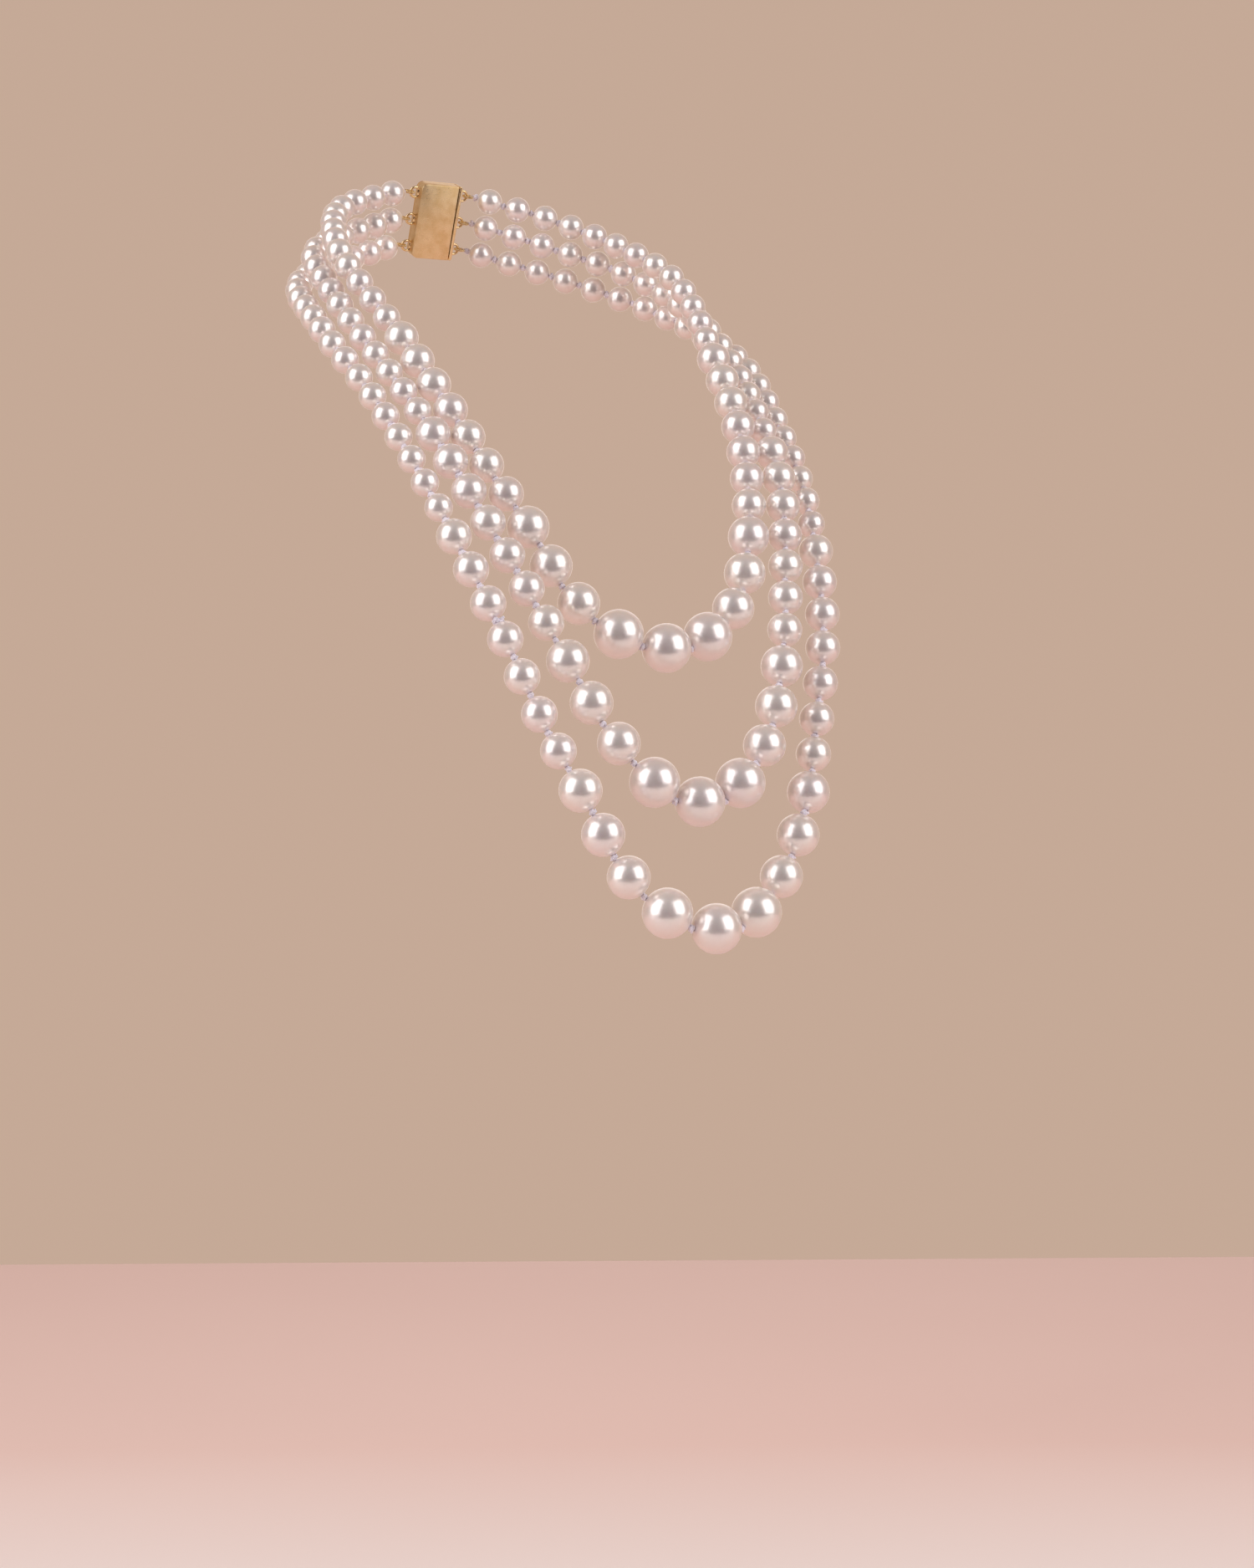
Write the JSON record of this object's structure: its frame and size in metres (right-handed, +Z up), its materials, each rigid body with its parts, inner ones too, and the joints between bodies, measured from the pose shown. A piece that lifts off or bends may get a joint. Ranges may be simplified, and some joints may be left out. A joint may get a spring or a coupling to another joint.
{
  "type": "pearl necklace",
  "caption": "Necklace of nested, graduated strands of round pearls knotted on silk, with a box clasp that takes every strand, lying as worn.",
  "frame": {"origin": "centre of the neck opening, level with the widest part of the inner strand", "axes": "+Z up, -Y the front of the wearer, +X the right side as seen from the front"},
  "size_m": [0.1464, 0.2012, 0.2441],
  "materials": {
    "pearl": "pearl lacquer on glass beads, high lustre",
    "silk": "twisted silk, hand knotted",
    "gold": "gold plated, polished",
    "gimp_wire": "fine coiled wire, gold plated"
  },
  "bodies": {
    "box_and_left_nape": {"clasp_box": "gold", "clasp_top_plate": "gold", "box_side_gimps": "gimp_wire", "inner_left_nape_pearls": "pearl", "inner_left_nape_thread": "silk", "middle_left_nape_pearls": "pearl", "middle_left_nape_thread": "silk", "outer_left_nape_pearls": "pearl", "outer_left_nape_thread": "silk"},
    "inner_left_chest": {"inner_left_collar_pearls": "pearl", "inner_left_chest_pearls": "pearl", "inner_left_chest_thread": "silk"},
    "inner_left_front": {"inner_centre_pearl": "pearl", "inner_left_front_pearls": "pearl", "inner_left_front_thread": "silk"},
    "inner_right_front": {"inner_right_front_pearls": "pearl", "inner_right_front_thread": "silk"},
    "inner_right_chest": {"inner_right_collar_pearls": "pearl", "inner_right_chest_pearls": "pearl", "inner_right_chest_thread": "silk"},
    "inner_right_nape": {"inner_right_nape_pearls": "pearl", "inner_right_nape_thread": "silk", "inner_tongue_side_gimp": "gimp_wire"},
    "middle_left_chest": {"middle_left_collar_pearls": "pearl", "middle_left_chest_pearls": "pearl", "middle_left_chest_thread": "silk"},
    "middle_left_front": {"middle_centre_pearl": "pearl", "middle_left_front_pearls": "pearl", "middle_left_front_thread": "silk"},
    "middle_right_front": {"middle_right_front_pearls": "pearl", "middle_right_front_thread": "silk"},
    "middle_right_chest": {"middle_right_collar_pearls": "pearl", "middle_right_chest_pearls": "pearl", "middle_right_chest_thread": "silk"},
    "middle_right_nape": {"middle_right_nape_pearls": "pearl", "middle_right_nape_thread": "silk", "middle_tongue_side_gimp": "gimp_wire", "clasp_tongue": "gold"},
    "outer_left_chest": {"outer_left_collar_pearls": "pearl", "outer_left_chest_pearls": "pearl", "outer_left_chest_thread": "silk"},
    "outer_left_front": {"outer_centre_pearl": "pearl", "outer_left_front_pearls": "pearl", "outer_left_front_thread": "silk"},
    "outer_right_front": {"outer_right_front_pearls": "pearl", "outer_right_front_thread": "silk"},
    "outer_right_chest": {"outer_right_collar_pearls": "pearl", "outer_right_chest_pearls": "pearl", "outer_right_chest_thread": "silk"},
    "outer_right_nape": {"outer_right_nape_pearls": "pearl", "outer_right_nape_thread": "silk", "outer_tongue_side_gimp": "gimp_wire"},
    "spring_leaf": {"clasp_spring_leaf": "gold"}
  },
  "joints": [
    {"name": "inner_swing", "type": "hinge", "parent": "box_and_left_nape", "child": "inner_left_chest", "pos_m": [-0.0562, -0.00576, -0.00516], "axis": [-1, 0, 0], "range_deg": [0, 50]},
    {"name": "inner_lift", "type": "hinge", "parent": "inner_left_chest", "child": "inner_left_front", "pos_m": [-0.03743, -0.07816, -0.08098], "axis": [-1, 0, 0], "range_deg": [0, 35]},
    {"name": "inner_open", "type": "hinge", "parent": "inner_left_front", "child": "inner_right_front", "pos_m": [0.00765, -0.0972, -0.1205], "axis": [0, 0.7071, -0.7071], "range_deg": [0, 3.66]},
    {"name": "inner_lift_right", "type": "hinge", "parent": "inner_right_front", "child": "inner_right_chest", "pos_m": [0.03743, -0.07816, -0.08098], "axis": [-1, 0, 0], "range_deg": [-35.01, 0]},
    {"name": "inner_swing_right", "type": "hinge", "parent": "inner_right_chest", "child": "inner_right_nape", "pos_m": [0.0562, -0.00576, -0.00516], "axis": [-1, 0, 0], "range_deg": [-50.01, 0]},
    {"name": "middle_swing", "type": "hinge", "parent": "box_and_left_nape", "child": "middle_left_chest", "pos_m": [-0.06171, -0.00455, -0.01234], "axis": [-1, 0, 0], "range_deg": [0, 47.51]},
    {"name": "middle_lift", "type": "hinge", "parent": "middle_left_chest", "child": "middle_left_front", "pos_m": [-0.036, -0.10037, -0.11933], "axis": [-1, 0, 0], "range_deg": [0, 35]},
    {"name": "middle_open", "type": "hinge", "parent": "middle_left_front", "child": "middle_right_front", "pos_m": [0.0078, -0.11644, -0.16403], "axis": [0, 0.7071, -0.7071], "range_deg": [0, 3.1]},
    {"name": "middle_lift_right", "type": "hinge", "parent": "middle_right_front", "child": "middle_right_chest", "pos_m": [0.036, -0.10037, -0.11933], "axis": [-1, 0, 0], "range_deg": [-35.01, 0]},
    {"name": "middle_swing_right", "type": "hinge", "parent": "middle_right_chest", "child": "middle_right_nape", "pos_m": [0.06171, -0.00455, -0.01234], "axis": [-1, 0, 0], "range_deg": [-47.51, 0]},
    {"name": "outer_swing", "type": "hinge", "parent": "box_and_left_nape", "child": "outer_left_chest", "pos_m": [-0.06879, -0.00818, -0.02094], "axis": [-1, 0, 0], "range_deg": [0, 45.01]},
    {"name": "outer_lift", "type": "hinge", "parent": "outer_left_chest", "child": "outer_left_front", "pos_m": [-0.03816, -0.11208, -0.15523], "axis": [-1, 0, 0], "range_deg": [0, 35]},
    {"name": "outer_open", "type": "hinge", "parent": "outer_left_front", "child": "outer_right_front", "pos_m": [0.0078, -0.12556, -0.19892], "axis": [0, 0.7071, -0.7071], "range_deg": [0, 2.78]},
    {"name": "outer_lift_right", "type": "hinge", "parent": "outer_right_front", "child": "outer_right_chest", "pos_m": [0.03816, -0.11208, -0.15523], "axis": [-1, 0, 0], "range_deg": [-35.01, 0]},
    {"name": "outer_swing_right", "type": "hinge", "parent": "outer_right_chest", "child": "outer_right_nape", "pos_m": [0.06879, -0.00818, -0.02094], "axis": [-1, 0, 0], "range_deg": [-45.01, 0]},
    {"name": "thumb_tab_press", "type": "hinge", "parent": "middle_right_nape", "child": "spring_leaf", "pos_m": [-0.0045, 0.06054, 0.02578], "axis": [0, 0.3987, -0.9171], "range_deg": [0, 3], "stiffness_Nm_per_rad": 0.05}
  ],
  "couplings": [
    {"joint": "inner_swing_right", "follows": "inner_swing", "ratio": -1},
    {"joint": "inner_lift_right", "follows": "inner_lift", "ratio": -1},
    {"joint": "inner_open", "follows": "middle_open", "ratio": 1.1761},
    {"joint": "middle_swing", "follows": "inner_swing", "ratio": 0.95},
    {"joint": "middle_swing_right", "follows": "inner_swing", "ratio": -0.95},
    {"joint": "middle_lift_right", "follows": "middle_lift", "ratio": -1},
    {"joint": "outer_swing", "follows": "inner_swing", "ratio": 0.9},
    {"joint": "outer_swing_right", "follows": "inner_swing", "ratio": -0.9},
    {"joint": "outer_lift_right", "follows": "outer_lift", "ratio": -1},
    {"joint": "outer_open", "follows": "middle_open", "ratio": 0.89205}
  ]
}
